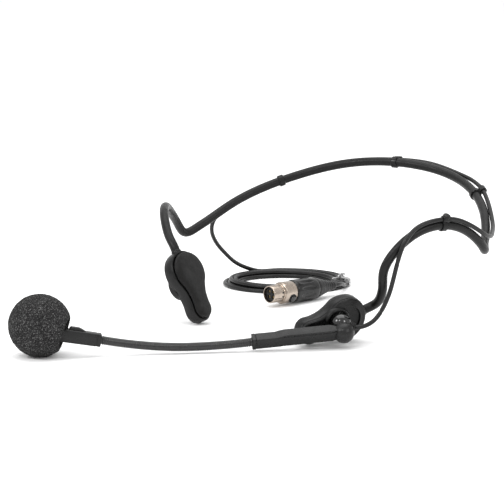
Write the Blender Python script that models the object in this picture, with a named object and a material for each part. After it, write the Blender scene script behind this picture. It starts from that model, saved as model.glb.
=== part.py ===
"""A behind-the-neck headset microphone, lying ready on a table.

The wearer would face -Y with the microphone arm on their left (+X).  All positions below are in
millimetres, measured from the headband's plane of symmetry (x = 0) and the table (z = 0); spot()
moves them so that the origin is under the middle of the object, and turns them into metres.
"""
import math

import bmesh
import bpy
import numpy as np
from mathutils import Matrix, Vector

MM = 0.001
SHIFT = Vector((-0.279, 2.079, 0.0))   # puts the origin under the middle of the object
GAP = 0.3                            # space left between pieces that touch

# headband
SLEEVE_RADIUS = 1.95
SLEEVE_BORE = 1.3
WIRE_RADIUS = 0.95
BAND_STEP = 3.5
BAND_ROLL = 1.25                     # degrees: the arm side lies a little higher
ROLL_HEIGHT = 30.0

# the lead from the microphone and the cord to the plug
LEAD_RADIUS = 0.95
LEAD_STEP = 3.5
CLIP_WIDTH = 2.6

# pads: two round lobes with a shallow hollow between them; depths run inward from the outer face
PAD_BIG, PAD_SMALL, PAD_SPAN, PAD_HOLLOW = 9.7, 5.5, 16.6, 14.0
COVER_THICKNESS = 1.0
FLOOR_TOP, FLOOR_BOTTOM = 1.3, 2.2
WIRE_DEPTH = 2.9
CARRIER_TOP, CARRIER_BOTTOM = 4.6, 5.3
SHELL_RIM = 5.4
CUSHION_TOP, CUSHION_BOTTOM = 5.6, 8.2
SHELL_WALL = 1.2
WIRE_INSIDE = 3.2
WIRE_STRAIGHT = 3.8
FERRULE_END = 2.1
BARE_WIRE = 1.4                      # between the ferrule and the sleeve, where the wire bends

# ball joint and boom
BALL_RADIUS = 4.0
BALL_CLEARANCE = 4.3
HUB_RADIUS = 4.3
STUD_RADIUS = 1.2
NECK_RADIUS = 1.85
NECK_STEP = 3.2

# microphone
FOAM_RADIUS = 12.8
FOAM_BORE = 4.3
CAPSULE_RADIUS = 3.3

# plug, measured along its axis from its open end
NOSE_RADIUS, RING_RADIUS, GRIP_RADIUS = 3.85, 4.8, 5.1

# coil of spare cord: the middle line of the bundle is an oval
COIL_LONG, COIL_SHORT, COIL_TURN = 25.3, 20.2, 28.0
BUNDLE_HALF_WIDTH, BUNDLE_HALF_HEIGHT = 3.85, 1.85
COIL_HEIGHT = 2.2

FINISHES = {
    "rubber": ((0.018, 0.018, 0.019), 0.55, 0.0),
    "satin_plastic": ((0.02, 0.02, 0.021), 0.4, 0.0),
    "arm_plastic": ((0.035, 0.035, 0.037), 0.45, 0.0),
    "gloss_plastic": ((0.008, 0.008, 0.009), 0.12, 0.0),
    "foam": ((0.035, 0.035, 0.037), 0.95, 0.0),
    "cushion": ((0.02, 0.02, 0.021), 0.9, 0.0),
    "cable": ((0.016, 0.016, 0.017), 0.35, 0.0),
    "nickel": ((0.62, 0.56, 0.5), 0.25, 1.0),
    "gold": ((0.75, 0.58, 0.28), 0.25, 1.0),
    "spring_steel": ((0.5, 0.5, 0.51), 0.3, 1.0),
    "insert": ((0.015, 0.015, 0.016), 0.5, 0.0),
    "tie": ((0.55, 0.56, 0.58), 0.3, 0.6),
}


# ------------------------------------------------------------------ helpers

def spot(point):
    """A point in the script's millimetres as a place in the scene."""
    return (Vector(point) + SHIFT) * MM


def smooth_curve(points, spacing):
    """Points about a spacing apart on a natural cubic spline through the given ones."""
    knots = np.array([tuple(p) for p in points], float)
    steps = np.sqrt(np.linalg.norm(np.diff(knots, axis=0), axis=1))
    count = len(knots)
    system = np.eye(count)
    right = np.zeros((count, 3))
    for i in range(1, count - 1):
        before, after = steps[i - 1], steps[i]
        system[i, i - 1:i + 2] = before, 2 * (before + after), after
        right[i] = 6 * ((knots[i + 1] - knots[i]) / after - (knots[i] - knots[i - 1]) / before)
    bend = np.linalg.solve(system, right)
    fine = []
    for i, step in enumerate(steps):
        for share in np.linspace(0, 1, 40, endpoint=False):
            x, y = share * step, (1 - share) * step
            fine.append(bend[i] * y ** 3 / (6 * step) + bend[i + 1] * x ** 3 / (6 * step)
                        + (knots[i] / step - bend[i] * step / 6) * y
                        + (knots[i + 1] / step - bend[i + 1] * step / 6) * x)
    fine.append(knots[-1])
    fine = np.array(fine)
    lengths = np.concatenate([[0], np.cumsum(np.linalg.norm(np.diff(fine, axis=0), axis=1))])
    wanted = np.linspace(0, lengths[-1], max(2, round(lengths[-1] / spacing) + 1))
    return np.stack([np.interp(wanted, lengths, fine[:, axis]) for axis in range(3)], 1)


def axes_along(direction, up=(0, 0, 1)):
    """Three unit vectors: across, upward and along a direction."""
    along = Vector(direction).normalized()
    across = Vector(up).cross(along).normalized()
    return across, along.cross(across), along


def rings_along(path, outline):
    """An outline of (across, upward) offsets carried along a path without twisting."""
    path = [Vector(p) for p in path]
    rings = []
    across = None
    for i, point in enumerate(path):
        along = (path[min(i + 1, len(path) - 1)] - path[max(i - 1, 0)]).normalized()
        if across is None:
            across = axes_along(along)[0]
        across = (across - along * across.dot(along)).normalized()
        upward = along.cross(across)
        rings.append([point + across * a + upward * b for a, b in outline])
    return rings


def circle(radius, sides, turn=0.0):
    """A regular outline."""
    angles = [2 * math.pi * (i + turn) / sides for i in range(sides)]
    return [(radius * math.cos(a), radius * math.sin(a)) for a in angles]


def rounded_box(low, high, half_depth, corner=0.8):
    """An outline with chamfered corners from low to high, as deep as twice half_depth."""
    c = corner
    d = half_depth
    return [(d - c, low), (d, low + c), (d, high - c), (d - c, high),
            (-d + c, high), (-d, high - c), (-d, low + c), (-d + c, low)]


def turned_rings(profile, origin, direction, sides, up=(0, 0, 1)):
    """Rings for a turned shape: the profile is (along, radius) pairs from the origin."""
    across, upward, along = axes_along(direction, up)
    origin = Vector(origin)
    return [[origin + along * x + across * a + upward * b for a, b in circle(r, sides)]
            for x, r in profile]


pivots = {}      # each body's pivot empty and its place


def add_body(name, parent, pivot):
    """An empty on the joint's axis, which carries a moving group of pieces."""
    empty = bpy.data.objects.new("pivot_" + name, None)
    empty.empty_display_size = 0.005
    bpy.context.scene.collection.objects.link(empty)
    place = spot(pivot)
    if parent:
        empty.parent = pivots[parent][0]
        empty.location = place - pivots[parent][1]
    else:
        empty.location = place
    pivots[name] = (empty, place)


def link_piece(obj, body, finish):
    """Put an object in the scene, on its body and with its own material."""
    bpy.context.scene.collection.objects.link(obj)
    obj.parent = pivots[body][0]
    if finish:
        color, roughness, metallic = FINISHES[finish]
        material = bpy.data.materials.new(obj.name + "_finish")
        material.use_nodes = True
        shader = material.node_tree.nodes["Principled BSDF"]
        shader.inputs["Base Color"].default_value = (*color, 1)
        shader.inputs["Roughness"].default_value = roughness
        shader.inputs["Metallic"].default_value = metallic
        obj.data.materials.append(material)
    else:
        obj.hide_render = True
        obj.display_type = "WIRE"
    return obj


def skin(name, rings, body, finish=None, looped=False):
    """One closed body through rings of points, capped at both ends or looped to the first ring.

    Without a finish it is a cutter, which only shapes other pieces."""
    work = bmesh.new()
    middle = pivots[body][1]
    loops = [[work.verts.new(spot(p) - middle) for p in ring] for ring in rings]
    pairs = list(zip(loops, loops[1:]))
    if looped:
        pairs.append((loops[-1], loops[0]))
    for one, other in pairs:
        for i in range(len(one)):
            j = (i + 1) % len(one)
            work.faces.new((one[i], one[j], other[j], other[i]))
    if not looped:
        work.faces.new(loops[0][::-1])
        work.faces.new(loops[-1])
    bmesh.ops.recalc_face_normals(work, faces=work.faces)
    mesh = bpy.data.meshes.new(name)
    work.to_mesh(mesh)
    work.free()
    mesh.shade_smooth()
    mesh.set_sharp_from_angle(angle=math.radians(35))
    return link_piece(bpy.data.objects.new(name, mesh), body, finish)


def carve(piece, cutter, operation="DIFFERENCE"):
    """Cut a cutter out of a piece, or join it on."""
    modifier = piece.modifiers.new(operation.lower(), "BOOLEAN")
    modifier.operation = operation
    modifier.object = cutter
    modifier.solver = "EXACT"


def turned(name, profile, origin, direction, sides, body, finish=None, looped=False):
    """A turned piece."""
    return skin(name, turned_rings(profile, origin, direction, sides), body, finish, looped)


def tube(name, path, radius, sides, body, finish, bore=0.0):
    """A round bar along a path, or a hollow one if it has a bore."""
    rings = rings_along(path, circle(radius, sides))
    if bore:
        rings += rings_along(path, circle(bore, sides))[::-1]
    return skin(name, rings, body, finish, looped=bool(bore))


def round_ended(name, path, radius, sides, body, finish):
    """A bar with domed ends, whose tips are the ends of the path."""
    path = [Vector(p) for p in path]
    lengths = [0.0]
    for one, other in zip(path, path[1:]):
        lengths.append(lengths[-1] + (other - one).length)
    dome = [radius * (1 - math.cos(math.radians(a))) for a in (15, 40, 65, 90)]
    marks = dome + [x for x in lengths if dome[-1] * 1.4 < x < lengths[-1] - dome[-1] * 1.4]
    marks += [lengths[-1] - x for x in reversed(dome)]
    rings = []
    columns = [[p[axis] for p in path] for axis in range(3)]
    centres = [[float(np.interp(m, lengths, column)) for column in columns] for m in marks]
    unit_rings = rings_along(centres, circle(1.0, sides))
    for mark, centre, ring in zip(marks, centres, unit_rings):
        near_end = min(mark, lengths[-1] - mark, radius)
        width = math.sqrt(max(radius ** 2 - (radius - near_end) ** 2, 0.0))
        rings.append([Vector(centre) + (p - Vector(centre)) * width for p in ring])
    return skin(name, rings, body, finish)


# ------------------------------------------------------------------ headband

# half of the band, from the pad round the ear, down behind it and on to the back of the head
EAR_HOOK = [
    (49.8, -4.6, 29.0), (54.0, -3.0, 37.0), (60.3, 3.8, 44.1), (67.0, 15.5, 46.4),
    (72.2, 28.0, 42.2), (74.4, 37.5, 35.0)]
FAR_DIP = [(74.0, 43.0, 30.5), (71.1, 48.3, 32.3)]
NEAR_DIP = [(73.3, 42.2, 32.5), (70.5, 47.8, 33.7)]
BACK_BAND = [
    (67.7, 55.1, 35.8), (62.1, 66.7, 41.8), (52.8, 80.0, 47.8), (40.5, 91.3, 52.7),
    (24.0, 97.4, 57.0), (0.0, 98.2, 59.3)]
# how each end of the wire reaches its pad, from the band's end to the pad's rim
NEAR_WIRE_END = [(48.9, -3.5, 23.6), (46.6, -1.3, 18.3), (44.4, -0.1, 15.8)]
HINGE = (0.0, 103.0, 59.3)


def rolled(point, side):
    """A point of the band on one side, with the whole band's small roll."""
    turn = math.radians(BAND_ROLL)
    x, y, z = point[0] * side, point[1], point[2] - ROLL_HEIGHT
    return Vector((x * math.cos(turn) - z * math.sin(turn), y,
                   ROLL_HEIGHT + x * math.sin(turn) + z * math.cos(turn)))


class Pad:
    """Where a pad is: its big lobe's centre on the outer face, and its outward and long axes."""

    def __init__(self, face, outward, lengthwise):
        self.face = Vector(face)
        self.out = Vector(outward).normalized()
        self.long = Vector(lengthwise)
        self.long = (self.long - self.out * self.long.dot(self.out)).normalized()
        self.wide = self.out.cross(self.long)

    def at(self, out, along, across):
        """A point of the pad."""
        return self.face + self.out * out + self.long * along + self.wide * across


FAR_PAD = Pad((-47.2, -5.9, 19.5), (-0.89, 0.10, -0.44), (0.435, -0.07, -0.90))
NEAR_PAD = Pad((36.7, -11.7, 9.7), (0.844, -0.476, -0.248), (-0.53, -0.815, -0.236))
FAR_WIRE_AXIS = Vector((0.55, -0.20, -0.81)).normalized()
NEAR_WIRE_AXIS = Vector((-0.68, -0.62, -0.39)).normalized()
FAR_RIM = FAR_PAD.at(-WIRE_DEPTH, -PAD_BIG, 0)
NEAR_RIM = NEAR_PAD.at(-WIRE_DEPTH, -PAD_BIG, 0)


def band_route():
    """The wire's whole route, from inside the far pad to inside the near one."""
    route = [FAR_RIM + FAR_WIRE_AXIS * x for x in (WIRE_INSIDE, 0, -WIRE_STRAIGHT)]
    route += [rolled(p, -1) for p in EAR_HOOK[1:] + FAR_DIP + BACK_BAND]
    route += [rolled(p, 1) for p in reversed(EAR_HOOK + NEAR_DIP + BACK_BAND[:-1])]
    route += [Vector(p) for p in NEAR_WIRE_END]
    return route + [NEAR_RIM + NEAR_WIRE_AXIS * x for x in (-WIRE_STRAIGHT, 0, WIRE_INSIDE)]


def stretch(path, start, end, spacing):
    """A finely drawn path from one distance along it to another, redrawn at a spacing."""
    lengths = np.concatenate([[0], np.cumsum(np.linalg.norm(np.diff(path, axis=0), axis=1))])
    count = int(abs(end - start) / spacing)
    wanted = [start + math.copysign(i * spacing, end - start) for i in range(count + 1)]
    if count and abs(end - wanted[-1]) < spacing / 3:
        wanted.pop()
    wanted.append(end)
    return np.stack([np.interp(wanted, lengths, path[:, axis]) for axis in range(3)], 1)


def distance_to(path, point):
    """How far along a finely drawn path its nearest point to a given one is."""
    lengths = np.concatenate([[0], np.cumsum(np.linalg.norm(np.diff(path, axis=0), axis=1))])
    return lengths[np.argmin(np.linalg.norm(path - np.array(tuple(point)), axis=1))]


def make_headband():
    """A spring-steel wire in a rubber sleeve, each in two halves that meet behind the neck."""
    path = smooth_curve(band_route(), 0.4)
    back = distance_to(path, rolled(BACK_BAND[-1], 1))
    bare = WIRE_INSIDE + FERRULE_END + BARE_WIRE
    total = distance_to(path, path[-1])
    halves = (("far", "band_far", back - GAP / 2, 0.0, bare),
              ("near", "band_near", back + GAP / 2, total, total - bare))
    for side, body, back_end, tip, sleeve_end in halves:
        sleeve_path = stretch(path, back_end, sleeve_end, BAND_STEP)
        wire_path = stretch(path, back_end, tip, BAND_STEP)
        tube("sleeve_" + side, sleeve_path, SLEEVE_RADIUS, 8, body, "rubber", bore=SLEEVE_BORE)
        tube("spring_wire_" + side, wire_path, WIRE_RADIUS, 6, body, "spring_steel")
    return path


# ------------------------------------------------------------------ lead and clips

# the lead from the back of the head, beside the band and over the ear hook, to the ball joint
LEAD_ROUTE = [
    (0.3, 101.1, 60.2), (2.5, 101.1, 60.4), (12.3, 101.1, 60.1), (24.6, 100.1, 58.6),
    (35.6, 97.0, 56.3), (42.4, 93.7, 54.9), (47.2, 90.0, 53.7), (52.0, 85.2, 52.2),
    (57.7, 78.1, 48.7), (63.3, 69.6, 44.9), (68.6, 60.3, 41.3), (72.3, 51.8, 40.2),
    (75.4, 43.4, 39.9), (76.2, 36.6, 41.4), (75.3, 31.5, 44.2), (71.5, 22.1, 49.1),
    (68.1, 15.1, 50.5), (64.2, 7.7, 50.0), (60.9, 1.9, 47.7), (59.2, -2.4, 44.0),
    (57.7, -4.0, 40.0), (56.1, -4.8, 34.0), (54.2, -5.3, 25.8), (53.0, -6.0, 21.0),
    (50.6, -8.0, 14.3), (48.1, -10.8, 10.2), (45.7, -13.2, 8.6), (43.9, -14.7, 8.2)]
LEAD_BREAK = (53.9, -5.4, 24.6), (51.2, -7.4, 15.8)   # the slack left for the pad's swivel
# the far half's stretch, which the free cord carries on from
FAR_LEAD_ROUTE = [
    (-0.3, 101.3, 60.2), (-12.0, 101.4, 59.2), (-24.4, 100.5, 57.2), (-34.2, 97.9, 54.9),
    (-42.3, 93.9, 52.2), (-48.6, 89.4, 49.6), (-52.3, 85.9, 47.5)]
CLIPS = (("cable_clip_1", "band_far", (-48.6, 84.9, 48.8), (-50.2, 88.0, 48.7)),
         ("cable_clip_2", "band_near", (2.5, 98.2, 59.3), (2.5, 101.1, 60.4)),
         ("cable_clip_3", "band_near", (49.3, 83.4, 50.4), (52.0, 85.2, 52.2)),
         ("cable_clip_4", "band_near", (66.6, 15.4, 47.9), (68.1, 15.1, 50.5)))


def nearest_with_direction(path, point):
    """The nearest point of a path to a given one, and the path's direction there."""
    i = int(np.argmin(np.linalg.norm(path - np.array(point), axis=1)))
    i = min(max(i, 1), len(path) - 2)
    return Vector(path[i]), Vector(path[i + 1] - path[i - 1]).normalized()


def make_clip(name, body, band_path, lead_path, on_band, on_lead):
    """A clip: one ring on the band and a smaller one on the lead, joined in one moulding."""
    hold, along = nearest_with_direction(band_path, on_band)
    lead, lead_along = nearest_with_direction(lead_path, on_lead)
    toward = lead - hold
    toward = (toward - along * toward.dot(along)).normalized()
    sideways = along.cross(toward)
    reach = (lead - hold).dot(toward)
    outline = []
    for degrees in range(-120, 121, 30):
        turn = math.radians(degrees)
        outline.append((reach + 1.9 * math.cos(turn), 1.9 * math.sin(turn)))
    for degrees in range(90, 271, 30):
        turn = math.radians(degrees)
        outline.append((2.85 * math.cos(turn), 2.85 * math.sin(turn)))
    if reach < 3.6:
        outline = [p for p in outline if not (p[0] < reach - 0.5 and abs(p[1]) < 1.8 and p[0] > 0)]
    ends = (-CLIP_WIDTH / 2, CLIP_WIDTH / 2)
    rings = [[hold + along * end + toward * a + sideways * b for a, b in outline] for end in ends]
    clip = skin(name, rings, body, "satin_plastic")
    reach_past = CLIP_WIDTH
    for label, centre, axis, radius in (("band", hold, along, SLEEVE_RADIUS + GAP),
                                        ("lead", lead, lead_along, LEAD_RADIUS + GAP)):
        cutter = turned(f"{name}_{label}_hole", [(-reach_past, radius), (reach_past, radius)],
                        centre, axis, 16, body)
        carve(clip, cutter)
    if name.endswith("4"):
        knob_at = lead + toward * 1.5
        knob = turned(name + "_knob_shape", [(-0.3, 1.7), (0.5, 1.7), (0.8, 1.4)],
                      knob_at, toward, 12, body)
        carve(clip, knob, "UNION")


def make_leads(band_path):
    """The microphone's lead along the band, and the clips that hold it."""
    lead_path = smooth_curve(LEAD_ROUTE, 0.4)
    far_path = smooth_curve(FAR_LEAD_ROUTE, 0.4)
    slack_start, slack_end = (distance_to(lead_path, p) for p in LEAD_BREAK)
    end = distance_to(lead_path, lead_path[-1])
    tube("lead_near", stretch(lead_path, 0, slack_start, LEAD_STEP), LEAD_RADIUS, 6,
         "band_near", "cable")
    tube("lead_tail", stretch(lead_path, slack_end, end, 2.5), LEAD_RADIUS, 8, "ball", "cable")
    far_end = distance_to(far_path, far_path[-1])
    tube("lead_far", stretch(far_path, 0, far_end, LEAD_STEP), LEAD_RADIUS, 6, "band_far", "cable")
    for name, body, on_band, on_lead in CLIPS:
        path = far_path if body == "band_far" else lead_path
        make_clip(name, body, band_path, path, on_band, on_lead)


# ------------------------------------------------------------------ pads

def pad_outline(grow):
    """The pad's outline, moved outward by grow: (along, across) pairs."""
    big, small, hollow = PAD_BIG + grow, PAD_SMALL + grow, PAD_HOLLOW - grow
    x = ((big + hollow) ** 2 - (small + hollow) ** 2 + PAD_SPAN ** 2) / (2 * PAD_SPAN)
    y = math.sqrt((big + hollow) ** 2 - x ** 2)
    small_angle, big_angle = math.atan2(y, x - PAD_SPAN), math.atan2(y, x)
    outline = []

    def arc(centre_x, centre_y, radius, start, end, count):
        for i in range(count):
            turn = start + (end - start) * i / count
            outline.append((centre_x + radius * math.cos(turn), centre_y + radius * math.sin(turn)))

    arc(PAD_SPAN, 0, small, -small_angle, small_angle, 8)
    arc(x, y, hollow, small_angle - math.pi, big_angle - math.pi, 3)
    arc(0, 0, big, big_angle, 2 * math.pi - big_angle, 14)
    arc(x, -y, hollow, math.pi - big_angle, math.pi - small_angle, 3)
    return outline


def pad_rings(pad, levels):
    """Rings at (depth, grow) levels of a pad's outline."""
    return [[pad.at(-depth, a, b) for a, b in pad_outline(grow)] for depth, grow in levels]


def make_pad(side, pad, body, wire_axis, rim_point):
    """A pad: outer cover, shell, snap post, carrier plate, cushion and the wire's ferrule."""
    cover = skin(side + "_pad_cover", pad_rings(pad, [
        (COVER_THICKNESS, -0.3), (0.3, -0.3), (0.0, -0.7)]), body, "satin_plastic")
    shell = skin(side + "_pad_shell", pad_rings(pad, [
        (FLOOR_TOP, -0.4), (1.7, 0), (5.0, 0), (SHELL_RIM, -0.4), (SHELL_RIM, -SHELL_WALL),
        (FLOOR_BOTTOM, -SHELL_WALL)]), body, "satin_plastic")
    hole = turned(side + "_wire_hole", [(-3, WIRE_RADIUS + GAP), (3, WIRE_RADIUS + GAP)],
                  rim_point, wire_axis, 12, body)
    carve(shell, hole)
    turned(side + "_snap_post", [(0, 1.0), (1.9, 1.0), (2.1, 0.8)],
           pad.at(-FLOOR_BOTTOM - 0.15, PAD_SPAN, 0), -pad.out, 10, body, "satin_plastic")
    skin(side + "_pad_carrier", pad_rings(pad, [
        (CARRIER_TOP, -1.5), (CARRIER_BOTTOM, -1.5)]), body, "satin_plastic")
    skin(side + "_pad_cushion", pad_rings(pad, [
        (CUSHION_TOP, -1.8), (6.1, -1.4), (7.2, -1.4), (7.8, -1.9), (CUSHION_BOTTOM, -3.2)]),
         body, "cushion")
    turned(side + "_wire_ferrule", [
        (0.6, 1.3), (0.6, 2.1), (1.5, 2.1), (FERRULE_END, 1.9), (FERRULE_END, 1.3)],
           rim_point, -wire_axis, 14, body, "rubber", looped=True)
    return cover


def make_pads():
    """Both pads: the ball's ring is on the near one, and a cap closes the far one's socket."""
    make_pad("far", FAR_PAD, "far_pad", FAR_WIRE_AXIS, FAR_RIM)
    turned("far_socket_cap", [(0.3, 5.9), (1.4, 5.9), (1.9, 5.4)],
           FAR_PAD.at(0, BALL_ON_PAD[1], -BALL_ON_PAD[2]), FAR_PAD.out, 20, "far_pad",
           "satin_plastic")
    cover = make_pad("near", NEAR_PAD, "near_pad", NEAR_WIRE_AXIS, NEAR_RIM)
    dimple = turned("ball_dimple", [(-2, 3.1), (3, 3.1)], NEAR_PAD.at(0, *BALL_ON_PAD[1:]),
                    NEAR_PAD.out, 16, "near_pad")
    carve(cover, dimple)
    turned("ball_socket_ring", [(0.3, 4.5), (0.3, 5.8), (0.9, 5.8), (1.3, 5.4), (1.3, 4.5)],
           NEAR_PAD.at(0, *BALL_ON_PAD[1:]), NEAR_PAD.out, 20, "near_pad", "gloss_plastic",
           looped=True)


# ------------------------------------------------------------------ ball joint and boom

BALL_ON_PAD = (3.2, 4.6, -1.8)       # out from the face, along and across the pad
HUB_ON_PAD = (8.4, 6.4, -0.6)
BALL = NEAR_PAD.at(*BALL_ON_PAD)
HUB = NEAR_PAD.at(*HUB_ON_PAD)
SWING_AXIS = (HUB - BALL).normalized()
BALL_TO_HUB = (HUB - BALL).length
ARM_END = Vector((12.2, -43.6, 4.3))
ARM_AXIS = (ARM_END - HUB).normalized()
ARM_UP = ARM_AXIS.cross(SWING_AXIS).normalized()
ARM_LENGTH = 36.3
TILT_AXIS = ARM_UP


def arm_ring(along, low, high, half_depth, corner=0.6):
    """A cross-section of the arm: from low to high on its upright side."""
    centre = HUB + ARM_AXIS * along
    depth_axis = ARM_UP.cross(ARM_AXIS)
    return [centre + depth_axis * a + ARM_UP * b
            for a, b in rounded_box(low, high, half_depth, corner)]


def make_ball_joint():
    """The ball on the pad, the stud through it and the lead's gland; the boom's cup turns on it."""
    ball_profile = [(-BALL_RADIUS * math.cos(math.radians(a)), BALL_RADIUS * math.sin(math.radians(a)))
                    for a in (8, 22, 38, 54, 70, 86, 102, 118, 134, 150)]
    bore = STUD_RADIUS + GAP
    ball_profile += [(math.sqrt(BALL_RADIUS ** 2 - bore ** 2), bore), (1.0, bore)]
    turned("boom_ball", ball_profile, BALL, SWING_AXIS, 20, "ball", "gloss_plastic")
    stud_end = BALL_TO_HUB + 2.3
    turned("ball_stud", [(1.3, STUD_RADIUS), (stud_end - 0.3, STUD_RADIUS), (stud_end, 0.9)],
           BALL, SWING_AXIS, 10, "ball", "spring_steel")
    toward_lead = (Vector(LEAD_ROUTE[-1]) - BALL).normalized()
    turned("lead_gland", [(4.25, 1.25), (4.25, 1.6), (5.0, 1.6), (6.0, 1.45), (6.0, 1.25)],
           BALL, toward_lead, 12, "ball", "rubber", looped=True)


def make_boom():
    """The arm with its cup, the rail cover on it and the collar at its end."""
    bore = STUD_RADIUS + GAP
    hub_profile = [(BALL_TO_HUB + 2.6, bore)]
    for degrees in (22, 30, 38):
        turn = math.radians(degrees)
        hub_profile.append((BALL_CLEARANCE * math.cos(turn), BALL_CLEARANCE * math.sin(turn)))
    for degrees in range(120, 1, -20):
        turn = math.radians(degrees)
        hub_profile.append((BALL_TO_HUB + HUB_RADIUS * math.cos(turn), HUB_RADIUS * math.sin(turn)))
    hub_profile.append((BALL_TO_HUB + HUB_RADIUS, 0.5))
    arm = turned("boom_arm", hub_profile, BALL, SWING_AXIS, 20, "boom", "arm_plastic")
    rail = skin("arm_rail_shape", [
        arm_ring(2.6, -1.9, 1.9, 1.9), arm_ring(5, -2.2, 2.3, 2.2), arm_ring(26.0, -2.35, 2.3, 2.2),
        arm_ring(26.3, -2.35, 2.3, 2.3), arm_ring(ARM_LENGTH, -2.5, 2.35, 2.3)], "boom")
    carve(arm, rail, "UNION")
    skin("arm_cover", [
        arm_ring(4.9, 2.6, 3.1, 1.7, 0.15), arm_ring(6.0, 2.6, 3.3, 2.1, 0.3),
        arm_ring(25.0, 2.6, 3.2, 2.1, 0.3), arm_ring(25.7, 2.6, 2.9, 2.1, 0.1)],
         "boom", "arm_plastic")
    skin("arm_collar", [
        arm_ring(ARM_LENGTH + GAP, -2.7, 2.5, 2.45), arm_ring(ARM_LENGTH + 1.5, -2.7, 2.5, 2.45)],
         "boom", "arm_plastic")


# the gooseneck, from the arm's collar to the microphone's holder, in three lengths that bend
NECK_ROUTE = [
    (9.9, -45.4, 3.9), (5.2, -49.1, 3.4), (-2.8, -55.3, 2.9), (-11.5, -62.1, 2.8),
    (-20.1, -68.7, 3.4), (-29.2, -75.8, 4.8), (-36.8, -81.7, 6.5)]
NECK_SHARES = (0.0, 0.30, 0.66, 1.0)
NECK_BODIES = ("boom", "neck_middle", "neck_tip")
NECK_NAMES = ("gooseneck_root", "gooseneck_middle", "gooseneck_tip")
HOLDER_START = Vector((-37.3, -82.0, 6.6))
HOLDER_AXIS = Vector((-0.783, -0.600, 0.165)).normalized()
HOLDER_LENGTH = 20.0
FOAM_CENTRE = Vector((-58.2, -94.5, 12.6))


def neck_path():
    """The gooseneck's centre line, finely drawn, and its length."""
    path = smooth_curve(NECK_ROUTE, 0.4)
    return path, distance_to(path, path[-1])


def neck_joint(share):
    """The place of a bend in the gooseneck."""
    path, length = neck_path()
    return Vector(stretch(path, 0, length * share, 100.0)[-1])


def make_gooseneck():
    """Three round-ended lengths; the bends are in the middle of the gaps between them."""
    path, length = neck_path()
    for name, body, start, end in zip(NECK_NAMES, NECK_BODIES, NECK_SHARES, NECK_SHARES[1:]):
        low = length * start + (GAP / 2 if start else 0)
        high = length * end - (GAP / 2 if end < 1 else 0)
        round_ended(name, stretch(path, low, high, 0.4)[::8], NECK_RADIUS, 10, body, "rubber")


def holder_ring(along, low, high, half_depth, corner=0.8):
    """A cross-section of the microphone's holder."""
    across, upward, axis = axes_along(HOLDER_AXIS)
    centre = HOLDER_START + axis * along
    outline = rounded_box(low, high, half_depth, corner)
    return [centre + across * a + upward * b for a, b in outline]


def make_microphone():
    """The holder with its rib, and the capsule in its housing behind a grille."""
    skin("mic_holder", [
        holder_ring(0, -2.3, 2.3, 2.2), holder_ring(0.6, -2.6, 2.6, 2.4),
        holder_ring(15, -2.7, 2.7, 2.5), holder_ring(HOLDER_LENGTH, -2.2, 2.2, 2.2)],
         "neck_tip", "arm_plastic")
    skin("holder_rib", [
        holder_ring(7.5, 3.0, 3.4, 1.2, 0.1), holder_ring(9.0, 3.0, 3.9, 1.3, 0.3),
        holder_ring(12.6, 3.0, 3.9, 1.3, 0.3)], "neck_tip", "arm_plastic")
    front = HOLDER_START + HOLDER_AXIS * (HOLDER_LENGTH + GAP)
    turned("capsule_housing", [
        (0, CAPSULE_RADIUS - 0.3), (0.4, CAPSULE_RADIUS), (6.0, CAPSULE_RADIUS), (6.0, 2.85),
        (1.2, 2.85)], front, HOLDER_AXIS, 16, "neck_tip", "satin_plastic")
    turned("mic_capsule", [(1.5, 2.5), (5.4, 2.5)], front, HOLDER_AXIS, 14, "neck_tip", "nickel")
    turned("capsule_grille", [(6.3, 3.2), (6.9, 3.2), (7.2, 2.6)], front, HOLDER_AXIS, 16,
           "neck_tip", "nickel")


def make_windscreen():
    """A foam ball with a flared bore for the microphone, resting on the table on a small flat."""
    profile = [(-FOAM_RADIUS * math.cos(math.radians(a)), FOAM_RADIUS * math.sin(math.radians(a)))
               for a in (5, 18, 32, 46, 60, 75, 90, 105, 120, 134, 148, 162, 175)]
    rings = turned_rings(profile, FOAM_CENTRE, HOLDER_AXIS, 20)
    for ring in rings:
        for point in ring:
            point.z = max(point.z, 0.0)
    foam = skin("windscreen", rings, "windscreen", "foam")
    mouth = HOLDER_START + HOLDER_AXIS * 8.0
    bore = turned("windscreen_bore", [
        (0, 8.0), (3.0, 7.0), (10.0, FOAM_BORE), (21.5, FOAM_BORE)], mouth, HOLDER_AXIS, 16,
                  "windscreen")
    carve(foam, bore)


# ------------------------------------------------------------------ plug and cord

PLUG_FACE = Vector((-28.1, 38.0, 5.9))
PLUG_AXIS = Vector((0.28, 0.96, -0.028)).normalized()
LATCH_OUT = Vector((0.84, -0.245, -0.49)).normalized()
LATCH_ALONG = 10.4

# the cord's route from its clip, behind the band and down to the coil
CORD_ROUTE = [
    (-52.5, 85.7, 47.4), (-56.7, 80.9, 45.1), (-60.6, 75.3, 42.4), (-64.1, 69.8, 39.6),
    (-67.6, 65.6, 36.5), (-70.9, 64.3, 33.0), (-73.7, 65.6, 28.7), (-75.4, 69.2, 23.6),
    (-75.7, 75.0, 17.8), (-75.0, 81.0, 12.9), (-74.4, 86.0, 9.4), (-73.3, 91.5, 6.9)]
COIL_CENTRE = Vector((-48.0, 89.0, COIL_HEIGHT))
TAIL_ROUTE = [(-16.6, 77.6, 4.7), (-16.2, 80.3, 4.7), (-16.5, 83.4, 4.7), (-17.4, 86.4, 4.9)]


def coil_point(degrees, out=0.0, height=0.0):
    """A point of the coil's middle line, moved outward and up."""
    turn, lean = math.radians(degrees), math.radians(COIL_TURN)
    a, b = (COIL_LONG + out) * math.cos(turn), (COIL_SHORT + out) * math.sin(turn)
    return COIL_CENTRE + Vector((a * math.cos(lean) - b * math.sin(lean),
                                 a * math.sin(lean) + b * math.cos(lean), height))


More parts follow.
